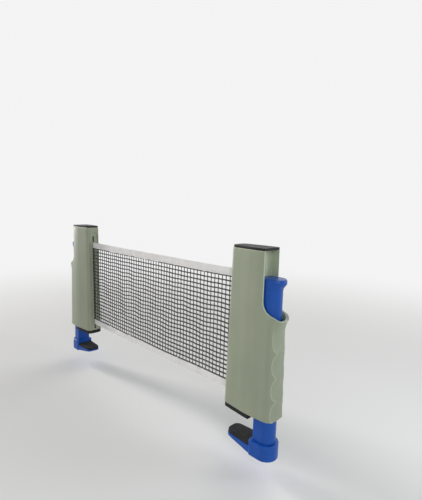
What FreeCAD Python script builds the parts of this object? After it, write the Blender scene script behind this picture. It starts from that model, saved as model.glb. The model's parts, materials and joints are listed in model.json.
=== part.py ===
import FreeCAD, Part
import math
import os

from FreeCAD import Vector

# Retractable table tennis net set: two clamp posts joined by a net.
# Millimetres, +Z up. The origin is the middle of the near post's base pad underside,
# the plane of the table top. +X runs from the far post to the near post, along the net.
# A post is drawn with u along +X, from its net end to its grip end, and v along +Y.

# Whole set
post_spacing = 368.0
near_post_x = 0.0

# How far the cutting forms reach past what they cut
cut_reach = 40.0
cut_margin = 1.0

# Base pad and base plate under the net chamber
base_pad_thick = 3.0
base_flange_thick = 2.0
base_spigot_height = 4.0
base_edge_inset = 0.6

# Case outline at its lower edge and its upper edge
case_height = 170.0
net_end_low = 34.0
net_end_high = 29.5
grip_end_low = 31.0
grip_end_high = 29.0
net_half_low = 11.6
net_half_high = 10.2
belly_half_low = 15.2
belly_half_high = 13.4
grip_half_low = 12.8
grip_half_high = 11.4
belly_u = 2.0
net_crown = 1.2
net_corner_radius = 6.0
net_crown_radius = 30.0
belly_radius = 90.0
grip_corner_radius = 10.5
case_wall = 2.2
chamber_corner_radius = 2.5

# Plunger column
column_inner_u = 6.3
column_length = 20.5
column_half = 10.0
column_wall = 2.2
column_corner_radius = 1.5
column_running_gap = 0.4
partition_thick = 2.0

# Thumb scoop and its flared lip
scoop_edge_u = 14.4
scoop_corner_z = 126.0
scoop_corner_radius = 12.6
lip_tip_drop = 6.0
lip_reach = 3.8
lip_root_z = 98.0
lip_bend_z = 103.5
lip_bend_reach = 1.2
lip_margin = 1.0

# Finger grooves in the grip end
groove_count = 4
groove_pitch = 24.5
groove_first_z = 14.5
groove_depth = 2.0
groove_crest_depth = 0.4

# Net slot and the arched recess round it
slot_width = 3.0
slot_low_z = 7.8
slot_high_z = 160.8
recess_half = 7.5
recess_depth = 1.2
recess_top_z = 168.0

# Top cap
cap_plate_thick = 2.5
cap_edge_inset = 0.3
cap_spigot_depth = 4.0
fit_gap = 0.1

# Rods and reel in the net chamber
anchor_rod_u = -19.5
rod_diameter = 4.0
rod_socket_depth = 2.5
reel_tube_diameter = 9.0
reel_tube_wall = 1.0
reel_end_gap = 1.0
bush_length = 6.0
bush_running_gap = 0.05
roll_wall_gap = 0.74
roll_seat_gap = 0.7
torsion_wire = 0.8
torsion_turns = 20
torsion_coil_diameter = 6.2
torsion_end_gap = 0.3

# Screws
screw_diameter = 3.0
screw_head_diameter = 5.6
screw_head_thick = 1.6
screw_length = 14.0
boss_diameter = 5.4
boss_height = 22.0
boss_sink = 0.4
jaw_screw_spread = 9.0
jaw_screw_length = 18.0
jaw_screw_recess = 1.0
drive_half_width = 0.4
drive_half_length = 1.6
drive_depth = 0.8

# Plunger head, with its flare on the grip side
head_top_z = 148.0
head_height = 12.0
flare_reach = 4.0
flare_steps = ((0.0, 0.0), (3.0, 0.9), (5.0, 2.7), (7.0, 3.8), (9.5, 4.0), (11.2, 3.7), (12.0, 3.0))
head_spigot_depth = 6.0
head_seat_gap = 0.3

# Foot block and jaw arm
block_margin = 3.0
block_top_z = -22.0
block_height = 16.7
block_corner_radius = 2.5
block_edge_radius = 1.0
column_socket_depth = 10.0
column_floor_rise = 2.0
arm_top_z = -30.0
arm_tip_thick = 2.0
arm_tip_u = -30.5
arm_half = 12.0
arm_tip_half = 9.5
arm_tip_radius = 7.0
arm_root_depth = 2.0
arm_root_radius = 0.5
jaw_pad_thick = 3.5
jaw_pad_inset = 0.5

# Return spring in the column, on a fixed seat
seat_z = 60.0
seat_thick = 2.0
seat_half = 4.0
seat_flange_thick = 1.5
seat_flange_half = 5.5
seat_flange_height = 8.0
seat_slot_gap = 0.5
clamp_close = 26.4
spring_wire = 1.4
spring_diameter = 12.6
spring_turns = 12
spring_seat_gap = 0.2
spring_roof = 1.0

# Net and its two bands
net_thick = 0.6
band_thick = 1.2
net_top_z = 151.2
top_band_height = 9.6
bottom_band_height = 9.4
net_bottom_z = 14.9
net_gap_columns = 27
net_gap_rows = 11
thread_width = 1.3
end_loop_thick = 0.8
end_loop_gap = 0.1
roll_gap = 0.4

# Places that follow from the sizes
case_low_z = base_pad_thick + base_flange_thick
case_high_z = case_low_z + case_height
case_slant = math.degrees(math.atan((net_end_low - net_end_high) / case_height))
column_outer_u = column_inner_u + column_length
column_mid_u = column_outer_u - column_half
channel_inner_u = column_inner_u - column_running_gap
chamber_outer_u = channel_inner_u - partition_thick
block_bottom_z = block_top_z - block_height
column_low_z = block_top_z - column_socket_depth
column_high_z = head_top_z - head_height
cap_top_z = case_high_z + cap_plate_thick
lip_top_z = scoop_corner_z - scoop_corner_radius
clamp_open = column_high_z - lip_top_z - head_seat_gap
base_end_u = column_inner_u - block_margin - column_running_gap
base_screw_u = -net_end_low + case_wall + boss_diameter / 2 - boss_sink
base_screw_v = net_half_low - case_wall - boss_diameter / 2 + boss_sink
rod_low_z = case_low_z + base_spigot_height - rod_socket_depth
rod_high_z = case_high_z - cap_spigot_depth + rod_socket_depth


def share(z):
    return (z - case_low_z) / case_height


def between(low, high, z):
    return low + (high - low) * share(z)


# The net roll fills the chamber at the net's upper edge, clear of the spring seat
roll_limit_u = chamber_outer_u - seat_flange_thick - roll_seat_gap
roll_belly_half = between(belly_half_low, belly_half_high, net_top_z)
roll_wall_rise = roll_belly_half - between(net_half_low, net_half_high, net_top_z)
roll_wall_slope = roll_wall_rise / (belly_u + between(net_end_low, net_end_high, net_top_z))
roll_half_there = roll_belly_half - case_wall - roll_wall_slope * (belly_u - roll_limit_u)
roll_radius = (roll_half_there - roll_wall_gap) / (1 + roll_wall_slope)
roll_diameter = 2 * roll_radius
reel_u = roll_limit_u - roll_radius


def rounded_wire(corners, z):
    """Closed wire through (u, v, radius) corners, each rounded by its own radius."""
    starts = []
    mids = []
    ends = []
    count = len(corners)
    for i in range(count):
        u, v, radius = corners[i]
        here = Vector(u, v, z)
        before = Vector(corners[i - 1][0], corners[i - 1][1], z)
        after = Vector(corners[(i + 1) % count][0], corners[(i + 1) % count][1], z)
        back = (before - here).normalize()
        ahead = (after - here).normalize()
        half = back.getAngle(ahead) / 2
        reach = radius / math.tan(half)
        middle = (back + ahead).normalize()
        centre = here + middle * (radius / math.sin(half))
        starts.append(here + back * reach)
        mids.append(centre - middle * radius)
        ends.append(here + ahead * reach)
    edges = []
    for i in range(count):
        edges.append(Part.Arc(starts[i], mids[i], ends[i]).toShape())
        edges.append(Part.LineSegment(ends[i], starts[(i + 1) % count]).toShape())
    return Part.Wire(edges)


def prism(wire, height):
    return Part.Face(wire).extrude(Vector(0, 0, height))


def box(low, high):
    size = Vector(*high) - Vector(*low)
    return Part.makeBox(size.x, size.y, size.z, Vector(*low))


def rod(u, v, low_z, high_z, diameter):
    return Part.makeCylinder(diameter / 2, high_z - low_z, Vector(u, v, low_z))


def case_corners(z, shift=0.0):
    """Plan of the case at height z, with its grip end moved out by shift."""
    net_end = between(net_end_low, net_end_high, z)
    grip_end = between(grip_end_low, grip_end_high, z) + shift
    net_half = between(net_half_low, net_half_high, z)
    belly_half = between(belly_half_low, belly_half_high, z)
    grip_half = between(grip_half_low, grip_half_high, z)
    return [
        (-net_end, -net_half, net_corner_radius),
        (belly_u, -belly_half, belly_radius),
        (grip_end, -grip_half, grip_corner_radius),
        (grip_end, grip_half, grip_corner_radius),
        (belly_u, belly_half, belly_radius),
        (-net_end, net_half, net_corner_radius),
        (-net_end - net_crown, 0.0, net_crown_radius),
    ]


def chamber_corners(z, inset):
    """Plan of the net chamber at height z, inside the wall and a further inset."""
    net_end = between(net_end_low, net_end_high, z) - case_wall - inset
    net_half = between(net_half_low, net_half_high, z) - case_wall - inset
    belly_half = between(belly_half_low, belly_half_high, z)
    net_end_outer = between(net_end_low, net_end_high, z)
    slope = (belly_half - net_half - case_wall - inset) / (belly_u + net_end_outer)
    far_half = belly_half - case_wall - inset
    end_u = chamber_outer_u - inset
    end_half = far_half - slope * max(belly_u - end_u, 0.0)
    return [
        (-net_end, -net_half, chamber_corner_radius),
        (end_u, -end_half, chamber_corner_radius),
        (end_u, end_half, chamber_corner_radius),
        (-net_end, net_half, chamber_corner_radius),
    ]


def column_wire(gap, z, extra=0.0, corner=column_corner_radius):
    """Plan of the column grown by gap: flat inner end, round grip end moved out by extra."""
    half = column_half + gap
    inner = column_inner_u - gap
    outer = column_outer_u + gap + extra
    cut = corner * (1 - math.sqrt(0.5))
    low_turn = Vector(outer - half, -half, z)
    high_turn = Vector(outer - half, half, z)
    a = Vector(inner + corner, -half, z)
    b = Vector(inner, -half + corner, z)
    c = Vector(inner, half - corner, z)
    d = Vector(inner + corner, half, z)
    edges = [
        Part.LineSegment(a, low_turn).toShape(),
        Part.Arc(low_turn, Vector(outer, 0, z), high_turn).toShape(),
        Part.LineSegment(high_turn, d).toShape(),
        Part.Arc(d, Vector(inner + cut, half - cut, z), c).toShape(),
        Part.LineSegment(c, b).toShape(),
        Part.Arc(b, Vector(inner + cut, -half + cut, z), a).toShape(),
    ]
    return Part.Wire(edges)


def stack(wires):
    """Solid through a stack of like wires."""
    return Part.makeLoft(wires, True, True)


def coil(u, v, low_z, high_z, coil_diameter, wire, turns, name):
    """One unbroken round wire wound as a helix, with its ends cut square."""
    radius = (coil_diameter - wire) / 2
    steps = turns * 4
    rise = (high_z - low_z - wire) / steps
    start_z = low_z + wire / 2
    points = []
    for i in range(steps * 2 + 1):
        angle = math.radians(45 * i)
        x = u + radius * math.cos(angle)
        y = v + radius * math.sin(angle)
        points.append(Vector(x, y, start_z + rise * i / 2))
    edges = []
    for i in range(steps):
        edges.append(Part.Arc(points[2 * i], points[2 * i + 1], points[2 * i + 2]).toShape())
    path = Part.Wire(edges)
    tangent = edges[0].tangentAt(edges[0].FirstParameter)
    section = Part.Wire([Part.makeCircle(wire / 2, points[0], tangent)])
    shell = Part.BRepOffsetAPI.MakePipeShell(path)
    shell.add(section)
    shell.build()
    shell.makeSolid()
    gap = rise * 4 - wire
    print(name, "least gap to itself", round(gap, 2), "mm")
    return shell.shape()


def scoop_cut():
    """Everything cut away above the lip, on the grip side of the scoop's edge."""
    top = case_high_z + cut_reach
    far_u = grip_end_low + cut_reach
    turn_u = scoop_edge_u + scoop_corner_radius
    low_z = lip_top_z
    tip_u = grip_end_low + lip_reach
    slope = lip_tip_drop / (tip_u - turn_u)
    a = Vector(scoop_edge_u, -cut_reach, top)
    b = Vector(scoop_edge_u, -cut_reach, scoop_corner_z)
    diagonal = scoop_corner_radius * math.sqrt(0.5)
    mid = Vector(turn_u - diagonal, -cut_reach, scoop_corner_z - diagonal)
    c = Vector(turn_u, -cut_reach, low_z)
    d = Vector(far_u, -cut_reach, low_z - slope * (far_u - turn_u))
    e = Vector(far_u, -cut_reach, top)
    edges = [
        Part.LineSegment(a, b).toShape(),
        Part.Arc(b, mid, c).toShape(),
        Part.LineSegment(c, d).toShape(),
        Part.LineSegment(d, e).toShape(),
        Part.LineSegment(e, a).toShape(),
    ]
    return Part.Face(Part.Wire(edges)).extrude(Vector(0, 2 * cut_reach, 0))


def case_outer():
    """Outer form of the case, flared towards the lip; the scoop cuts away all above it."""
    flare = (
        (case_low_z, 0.0),
        (lip_root_z, 0.0),
        (lip_bend_z, lip_bend_reach),
        (lip_top_z + lip_margin, lip_reach),
        (case_high_z, lip_reach),
    )
    return stack([rounded_wire(case_corners(z, reach), z) for z, reach in flare])


def grooves():
    half_pitch = groove_pitch / 2
    rise = groove_depth - groove_crest_depth
    radius = (half_pitch ** 2 + rise ** 2) / (2 * rise)
    cuts = []
    for i in range(groove_count):
        z = groove_first_z + groove_pitch * i
        u = between(grip_end_low, grip_end_high, z) - groove_depth + radius
        cuts.append(Part.makeCylinder(radius, 2 * cut_reach, Vector(u, -cut_reach, z), Vector(0, 1, 0)))
    return cuts


def recess():
    """Arched recess on the net end, its floor parallel to the sloping end."""
    low = case_low_z - cut_reach
    top = recess_top_z
    turn = top - recess_half
    face_u = -between(net_end_low, net_end_high, case_low_z) - net_crown + recess_depth
    a = Vector(face_u, -recess_half, low)
    b = Vector(face_u, -recess_half, turn)
    m = Vector(face_u, 0, top)
    c = Vector(face_u, recess_half, turn)
    d = Vector(face_u, recess_half, low)
    edges = [
        Part.LineSegment(a, b).toShape(),
        Part.Arc(b, m, c).toShape(),
        Part.LineSegment(c, d).toShape(),
        Part.LineSegment(d, a).toShape(),
    ]
    cut = Part.Face(Part.Wire(edges)).extrude(Vector(-cut_reach, 0, 0))
    cut.rotate(Vector(face_u, 0, case_low_z), Vector(0, 1, 0), case_slant)
    return cut


def case():
    shell = case_outer()
    chamber = stack([rounded_wire(chamber_corners(z, 0.0), z) for z in (case_low_z, case_high_z)])
    shell = shell.cut(chamber)
    low = case_low_z + base_spigot_height
    high = low + boss_height
    shell = shell.fuse([rod(base_screw_u, v, low, high, boss_diameter) for v in base_screw_places()])
    cuts = [scoop_cut(), recess()]
    cuts += grooves()
    channel = column_wire(column_running_gap, case_low_z - cut_margin)
    cuts.append(prism(channel, case_height + 2 * cut_margin))
    slot_end = -net_end_high + case_wall + 2 * cut_margin
    cuts.append(box((-2 * cut_reach, -slot_width / 2, slot_low_z), (slot_end, slot_width / 2, slot_high_z)))
    cuts.append(box(
        (chamber_outer_u - cut_margin, -seat_half - fit_gap, seat_z - fit_gap),
        (channel_inner_u + cut_margin, seat_half + fit_gap, seat_z + seat_thick + fit_gap),
    ))
    high = case_low_z + screw_length
    cuts += [rod(base_screw_u, v, case_low_z, high, screw_diameter) for v in base_screw_places()]
    return shell.cut(cuts).removeSplitter()


def base_screw_places():
    return (-base_screw_v, base_screw_v)


def half_plan(z, inset, end_u):
    """Plan of the case inset all round and cut off at end_u."""
    plan = Part.Face(rounded_wire(case_corners(z), z)).makeOffset2D(-inset)
    low = (-2 * cut_reach, -cut_reach, z - cut_margin)
    return plan.common(box(low, (end_u, cut_reach, z + cut_margin)))


def base_plate():
    low_z = base_pad_thick
    flange = half_plan(low_z, base_edge_inset, base_end_u).extrude(Vector(0, 0, base_flange_thick))
    top_z = case_low_z + base_spigot_height
    spigot = stack([rounded_wire(chamber_corners(z, fit_gap), z) for z in (case_low_z, top_z)])
    spigot = spigot.common(box((-2 * cut_reach, -cut_reach, case_low_z), (base_end_u, cut_reach, top_z)))
    plate = flange.fuse(spigot)
    above = top_z + cut_margin
    below = low_z - cut_margin
    cuts = [rod(u, 0, rod_low_z, above, rod_diameter) for u in (reel_u, anchor_rod_u)]
    for v in base_screw_places():
        cuts.append(rod(base_screw_u, v, below, above, screw_diameter))
        cuts.append(rod(base_screw_u, v, below, low_z + screw_head_thick, screw_head_diameter))
    return plate.cut(cuts).removeSplitter()


def base_pad():
    return half_plan(0, base_edge_inset, base_end_u).extrude(Vector(0, 0, base_pad_thick))


def screw(u, v, head_low_z, length):
    head = rod(u, v, head_low_z, head_low_z + screw_head_thick, screw_head_diameter)
    shank = rod(u, v, head_low_z + screw_head_thick, head_low_z + length, screw_diameter)
    cuts = []
    low = head_low_z - cut_margin
    high = head_low_z + drive_depth
    for du, dv in ((drive_half_width, drive_half_length), (drive_half_length, drive_half_width)):
        cuts.append(box((u - du, v - dv, low), (u + du, v + dv, high)))
    return head.fuse(shank).cut(cuts)


def base_screws():
    length = screw_length + base_flange_thick
    return Part.makeCompound([screw(base_screw_u, v, base_pad_thick, length) for v in base_screw_places()])


def top_cap():
    plate = half_plan(case_high_z, cap_edge_inset, scoop_edge_u - cap_edge_inset).extrude(Vector(0, 0, cap_plate_thick))
    low_z = case_high_z - cap_spigot_depth
    spigot = prism(rounded_wire(chamber_corners(case_high_z, fit_gap), low_z), cap_spigot_depth)
    cap = plate.fuse(spigot)
    sockets = [rod(u, 0, low_z - cut_margin, rod_high_z, rod_diameter) for u in (reel_u, anchor_rod_u)]
    return cap.cut(sockets).removeSplitter()


def spring_seat():
    flange = box(
        (chamber_outer_u - seat_flange_thick, -seat_flange_half, seat_z - seat_flange_height / 2),
        (chamber_outer_u, seat_flange_half, seat_z + seat_flange_height),
    )
    root = (chamber_outer_u - seat_flange_thick, -seat_half, seat_z)
    tongue = box(root, (column_mid_u + seat_half, seat_half, seat_z + seat_thick))
    return flange.fuse(tongue).removeSplitter()


def column():
    body = prism(column_wire(0.0, column_low_z), column_high_z - column_low_z)
    floor_z = block_top_z + column_floor_rise
    hollow = prism(column_wire(-column_wall, floor_z), column_high_z - floor_z + cut_margin)
    slot_low = seat_z - clamp_close - seat_slot_gap
    slot_high = seat_z + seat_thick + clamp_open + seat_slot_gap
    slot = box(
        (column_inner_u - cut_margin, -seat_half - seat_slot_gap, slot_low),
        (column_inner_u + column_wall + cut_margin, seat_half + seat_slot_gap, slot_high),
    )
    low = column_low_z - cut_margin
    holes = [rod(u, 0, low, floor_z + cut_margin, screw_diameter) for u in jaw_screw_places()]
    return body.cut([hollow, slot] + holes).removeSplitter()


def jaw_screw_places():
    middle = (column_inner_u + column_outer_u) / 2
    return (middle - jaw_screw_spread / 2, middle + jaw_screw_spread / 2)


def thumb_cap():
    wires = [column_wire(0.0, column_high_z + dz, reach) for dz, reach in flare_steps]
    head = stack(wires)
    low_z = column_high_z - head_spigot_depth
    spigot = prism(column_wire(-column_wall - fit_gap, low_z), head_spigot_depth)
    pocket_diameter = spring_diameter + 2 * spring_seat_gap
    pocket = rod(column_mid_u, 0, low_z - cut_margin, spring_top_z(), pocket_diameter)
    return head.fuse(spigot).cut(pocket).removeSplitter()


def spring_top_z():
    return column_high_z - spring_roof


def return_spring(name):
    low = seat_z + seat_thick + spring_seat_gap
    high = spring_top_z() - spring_seat_gap
    return coil(column_mid_u, 0, low, high, spring_diameter, spring_wire, spring_turns, name)


def block_wire(z):
    return column_wire(block_margin, z, 0.0, block_corner_radius)


def arm_wire(z, inset, root_u):
    """Plan of the jaw arm or its pad, tapered from its root at root_u to its round tip."""
    return rounded_wire([
        (arm_tip_u + inset, -arm_tip_half + inset, arm_tip_radius),
        (root_u, -arm_half + inset, arm_root_radius),
        (root_u, arm_half - inset, arm_root_radius),
        (arm_tip_u + inset, arm_tip_half - inset, arm_tip_radius),
    ], z)


def jaw():
    block = prism(block_wire(block_bottom_z), block_height)
    rims = [edge for edge in block.Edges if edge.BoundBox.ZLength < 0.001]
    block = block.makeFillet(block_edge_radius, rims)
    inner = column_inner_u - block_margin
    arm = prism(arm_wire(block_bottom_z, 0.0, inner + arm_root_depth), arm_top_z - block_bottom_z)
    tip_z = arm_top_z - arm_tip_thick
    root_z = block_bottom_z + block_edge_radius
    below = block_bottom_z - cut_reach
    slope = [
        Vector(arm_tip_u - cut_reach, -cut_reach, tip_z),
        Vector(arm_tip_u, -cut_reach, tip_z),
        Vector(inner, -cut_reach, root_z),
        Vector(inner + cut_reach, -cut_reach, root_z),
        Vector(inner + cut_reach, -cut_reach, below),
        Vector(arm_tip_u - cut_reach, -cut_reach, below),
    ]
    under = Part.Face(Part.makePolygon(slope + [slope[0]])).extrude(Vector(0, 2 * cut_reach, 0))
    body = block.fuse(arm.cut(under))
    cuts = [prism(column_wire(fit_gap, column_low_z), column_socket_depth + cut_margin)]
    low = block_bottom_z - cut_margin
    head_high = jaw_screw_low_z() + screw_head_thick
    for u in jaw_screw_places():
        cuts.append(rod(u, 0, low, column_low_z + cut_margin, screw_diameter))
        cuts.append(rod(u, 0, low, head_high, screw_head_diameter))
    return body.cut(cuts).removeSplitter()


def jaw_pad():
    return prism(arm_wire(arm_top_z, jaw_pad_inset, column_inner_u - block_margin), jaw_pad_thick)


def jaw_screw_low_z():
    return block_bottom_z + jaw_screw_recess


def jaw_screws():
    low = jaw_screw_low_z()
    return Part.makeCompound([screw(u, 0, low, jaw_screw_length) for u in jaw_screw_places()])


def chamber_rod(u):
    return rod(u, 0, rod_low_z, rod_high_z, rod_diameter)


def reel_low_z():
    return case_low_z + base_spigot_height + reel_end_gap


def reel_high_z():
    return case_high_z - cap_spigot_depth - reel_end_gap


def reel_tube():
    low = reel_low_z()
    high = reel_high_z()
    bore = reel_tube_diameter - 2 * reel_tube_wall
    inner = rod(reel_u, 0, low - cut_margin, high + cut_margin, bore)
    return rod(reel_u, 0, low, high, reel_tube_diameter).cut(inner)


def reel_bush(low_z):
    high_z = low_z + bush_length
    outer = rod(reel_u, 0, low_z, high_z, reel_tube_diameter - 2 * reel_tube_wall)
    bore_diameter = rod_diameter + 2 * bush_running_gap
    return outer.cut(rod(reel_u, 0, low_z - cut_margin, high_z + cut_margin, bore_diameter))


def torsion_spring():
    low = reel_low_z() + bush_length + torsion_end_gap
    high = reel_high_z() - bush_length - torsion_end_gap
    name = "far_torsion_spring"
    return coil(reel_u, 0, low, high, torsion_coil_diameter, torsion_wire, torsion_turns, name)


def net_roll():
    outer = rod(reel_u, 0, net_bottom_z, net_top_z, roll_diameter)
    core = rod(reel_u, 0, net_bottom_z - cut_margin, net_top_z + cut_margin, reel_tube_diameter)
    return outer.cut(core)


def net_near_x():
    return near_post_x + anchor_rod_u - rod_diameter / 2 - end_loop_gap - end_loop_thick


def net_far_x():
    return near_post_x - post_spacing - reel_u + roll_diameter / 2 + roll_gap


def sheet_plate(low_x, high_x, low_z, high_z, thick):
    return box((low_x, -thick / 2, low_z), (high_x, thick / 2, high_z))


def net_mesh():
    """Flat net as one holed face, between the two bands."""
    low_x = net_far_x()
    high_x = net_near_x()
    low_z = net_bottom_z + bottom_band_height
    high_z = net_top_z - top_band_height
    pitch_x = (high_x - low_x) / net_gap_columns
    pitch_z = (high_z - low_z) / net_gap_rows
    y = -net_thick / 2

    def rectangle(x0, z0, x1, z1):
        corners = ((x0, z0), (x1, z0), (x1, z1), (x0, z1), (x0, z0))
        return Part.makePolygon([Vector(x, y, z) for x, z in corners])

    wires = [rectangle(low_x, low_z, high_x, high_z)]
    for i in range(net_gap_columns):
        for j in range(net_gap_rows):
            x0 = low_x + pitch_x * i + thread_width / 2
            z0 = low_z + pitch_z * j + thread_width / 2
            wires.append(rectangle(x0, z0, x0 + pitch_x - thread_width, z0 + pitch_z - thread_width))
    face = Part.Face(wires, "Part::FaceMakerBullseye")
    return face.extrude(Vector(0, net_thick, 0))


def net_top_band():
    return sheet_plate(net_far_x(), net_near_x(), net_top_z - top_band_height, net_top_z, band_thick)


def net_bottom_band():
    high_z = net_bottom_z + bottom_band_height
    return sheet_plate(net_far_x(), net_near_x(), net_bottom_z, high_z, band_thick)


def net_end_loop():
    """Sewn sleeve of the net's near end, round the anchor rod."""
    x = near_post_x + anchor_rod_u
    inner = rod_diameter + 2 * end_loop_gap
    sleeve = rod(x, 0, net_bottom_z, net_top_z, inner + 2 * end_loop_thick)
    return sleeve.cut(rod(x, 0, net_bottom_z - cut_margin, net_top_z + cut_margin, inner))


def place(shape, post):
    """Put a post's piece in the set: the far post is turned half round."""
    moved = shape.copy()
    if post == "far":
        moved.rotate(Vector(0, 0, 0), Vector(0, 0, 1), 180)
        moved.translate(Vector(near_post_x - post_spacing, 0, 0))
    else:
        moved.translate(Vector(near_post_x, 0, 0))
    return moved


def post_pieces():
    return {
        "case": case(),
        "top_cap": top_cap(),
        "base_plate": base_plate(),
        "base_pad": base_pad(),
        "base_screws": base_screws(),
        "spring_seat": spring_seat(),
        "plunger_column": column(),
        "thumb_cap": thumb_cap(),
        "jaw": jaw(),
        "jaw_pad": jaw_pad(),
        "jaw_screws": jaw_screws(),
        "return_spring": return_spring("return_spring"),
    }


def build():
    pieces = {}
    shared = post_pieces()
    for post in ("near", "far"):
        for name, shape in shared.items():
            pieces[post + "_" + name] = place(shape, post)
    pieces["near_anchor_rod"] = place(chamber_rod(anchor_rod_u), "near")
    pieces["net_end_loop"] = net_end_loop()
    pieces["far_reel_spindle"] = place(chamber_rod(reel_u), "far")
    pieces["far_reel_tube"] = place(reel_tube(), "far")
    pieces["far_reel_lower_bush"] = place(reel_bush(reel_low_z()), "far")
    pieces["far_reel_upper_bush"] = place(reel_bush(reel_high_z() - bush_length), "far")
    pieces["far_torsion_spring"] = place(torsion_spring(), "far")
    pieces["far_net_roll"] = place(net_roll(), "far")
    pieces["net_mesh"] = net_mesh()
    pieces["net_top_band"] = net_top_band()
    pieces["net_bottom_band"] = net_bottom_band()
    return pieces


def main():
    os.makedirs("parts", exist_ok=True)
    for name, shape in build().items():
        shape.exportStep("parts/" + name + ".step")
        print(name, "solids", len(shape.Solids), "valid", shape.isValid(), "volume", round(shape.Volume, 1))


main()
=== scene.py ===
import json
import math

import bmesh
import bpy
from bpy.props import FloatProperty, FloatVectorProperty, IntProperty, PointerProperty
from mathutils import Matrix, Vector, noise


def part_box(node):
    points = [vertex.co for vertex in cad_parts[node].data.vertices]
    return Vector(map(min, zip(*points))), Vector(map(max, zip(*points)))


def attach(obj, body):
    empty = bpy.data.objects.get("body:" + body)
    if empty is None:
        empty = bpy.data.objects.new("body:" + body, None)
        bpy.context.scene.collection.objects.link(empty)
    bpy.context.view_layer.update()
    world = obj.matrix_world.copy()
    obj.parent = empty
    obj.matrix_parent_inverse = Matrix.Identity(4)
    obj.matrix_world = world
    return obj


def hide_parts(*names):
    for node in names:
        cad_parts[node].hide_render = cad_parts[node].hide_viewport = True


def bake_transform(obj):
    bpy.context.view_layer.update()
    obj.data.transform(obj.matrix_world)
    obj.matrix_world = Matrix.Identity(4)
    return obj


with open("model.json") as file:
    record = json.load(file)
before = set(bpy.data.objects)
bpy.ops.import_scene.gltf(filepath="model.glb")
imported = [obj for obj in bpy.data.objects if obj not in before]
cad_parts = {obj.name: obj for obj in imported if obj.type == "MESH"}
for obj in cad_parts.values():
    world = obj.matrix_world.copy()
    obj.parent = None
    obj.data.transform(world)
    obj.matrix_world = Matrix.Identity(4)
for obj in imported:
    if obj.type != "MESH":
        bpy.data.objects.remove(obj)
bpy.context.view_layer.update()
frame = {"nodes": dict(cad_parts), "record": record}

bl_info = {
    "name": "Table tennis net set",
    "version": (1, 0, 0),
    "blender": (4, 5, 0),
    "location": "3D View > Sidebar > Net set",
    "description": "Dresses the packed frame of a clamp-on, self-winding table tennis net",
    "category": "Object",
}

# Pieces are modelled in millimetres in the frame of the near post: u along +X from the
# net end to the grip end, v along +Y, z up. The far post is the same, turned round.
MM = 0.001
POST_SPACING = 368.0
POSTS = ("near", "far")

# Distances that count as touching
TOUCH = 0.01
CLOSE = 0.1
MERGE = 0.003
RING_MERGE = 0.05
GRID_MERGE = 0.2
# Faces that turn by less than this are one face
FLAT_DEGREES = 0.8

# Case: heights, plan corners (u, v, radius, steps) at its lower edge, and its lean
CASE_LOW = 5.0
CASE_HIGH = 175.0
NET_END = 34.0
NET_END_HALF = 11.6
GRIP_END = 31.0
CASE_CORNERS = (
    (-NET_END, -NET_END_HALF, 6.0, 5), (2.0, -15.2, 90.0, 4), (GRIP_END, -12.8, 10.5, 10),
    (GRIP_END, 12.8, 10.5, 10), (2.0, 15.2, 90.0, 4), (-NET_END, NET_END_HALF, 6.0, 5),
    (-35.2, 0.0, 30.0, 4),
)
BELLY_U = 2.0
NET_LEAN = 4.5
GRIP_LEAN = 2.0
SIDE_LEAN = 0.118
# The rounded corner of the grip end, in the plan
GRIP_ARC_U = 20.5
GRIP_ARC_V = 3.13
GRIP_ARC_RADIUS = 10.5
GRIP_ARC_TURN = 86.0

# Channel that the plunger slides in, and its wall, wider at the scoop
CHANNEL_BACK = 5.9
CHANNEL_HALF = 10.4
CHANNEL_ROUND_U = 16.8
CHANNEL_WIDENS = (96.0, 116.0)
CHANNEL_FLARE = 0.9

# Thumb scoop: edge, corner arc (u, z, radius) and the lip below it
SCOOP_ARC = (27.0, 126.0, 12.6)
SCOOP_CORNER = (18.1, 117.1)
LIP_ROOT_Z = 97.8
LIP_EASE = 2.5
LIP_SLOPE = 6.0 / 7.8
LIP_FULL_U = 25.0
LIP_CURVE = 1.9
LIP_PASSES = 4

# The frame brings materials named like the slots; those made here end in this
FINISH_SUFFIX = "_finish"
# Name of the UV map of the cloth pieces
CLOTH_MAP = "cloth"
BLACK = (0.010, 0.010, 0.011)
DUSTY_BLACK = (0.028, 0.028, 0.029)
# Name of the attribute of painted light: painted highlights along the case's rounded edges, and its
# values elsewhere
PAINTED_LIGHT = "edge_light"
INNER_PAINTED_LIGHT = 0.6
RECESS_PAINTED_HIGHLIGHT = 0.5

# Finger grooves: arcs up the grip end, a crowned floor, and an edge round the corner
GROOVES = 4
GROOVE_FIRST_Z = 14.5
GROOVE_PITCH = 24.5
GROOVE_DEPTH = 2.0
GROOVE_CREST = 0.4
GROOVE_RADIUS = ((GROOVE_PITCH / 2) ** 2 + (GROOVE_DEPTH - GROOVE_CREST) ** 2) / (
    2 * (GROOVE_DEPTH - GROOVE_CREST))
GROOVE_LAST_Z = GROOVE_FIRST_Z + (GROOVES - 1) * GROOVE_PITCH
GROOVE_FADE_Z = 93.0
GROOVE_TOP_Z = 101.7
GROOVE_SETTLE = 9.0
GROOVE_CROWN = 1.4
GROOVE_ANGLE = 26.0
GROOVE_LEAST_ANGLE = 5.0
GROOVE_SPREAD_FROM = 14.0
GROOVE_SPREAD_TO = 36.0

# Rows and columns of the case's grid
ROW_BASE = 2.25
ROW_STEP = 2.45
GRIP_ROWS = range(2, 40)
LIP_ROWS = 10
SCOOP_ROWS = (118.9, 120.7, 122.5, 124.3, 126.0)
UPPER_ROWS = 10
SIDE_COLUMNS = (CHANNEL_BACK, 10.0, 14.0, CHANNEL_ROUND_U, SCOOP_CORNER[0], 19.8)
NET_COLUMNS = (-7.5, -4.6, -1.5, 0.0, 1.5, 4.6, 7.5)
NET_FACE_U = -25.0
NET_SIDE_U = -20.0
RIM_ABOVE_Z = 50.0
INNER_RIM_ROUND = 0.4
LOW_RIM_ROUND = 0.35

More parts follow.
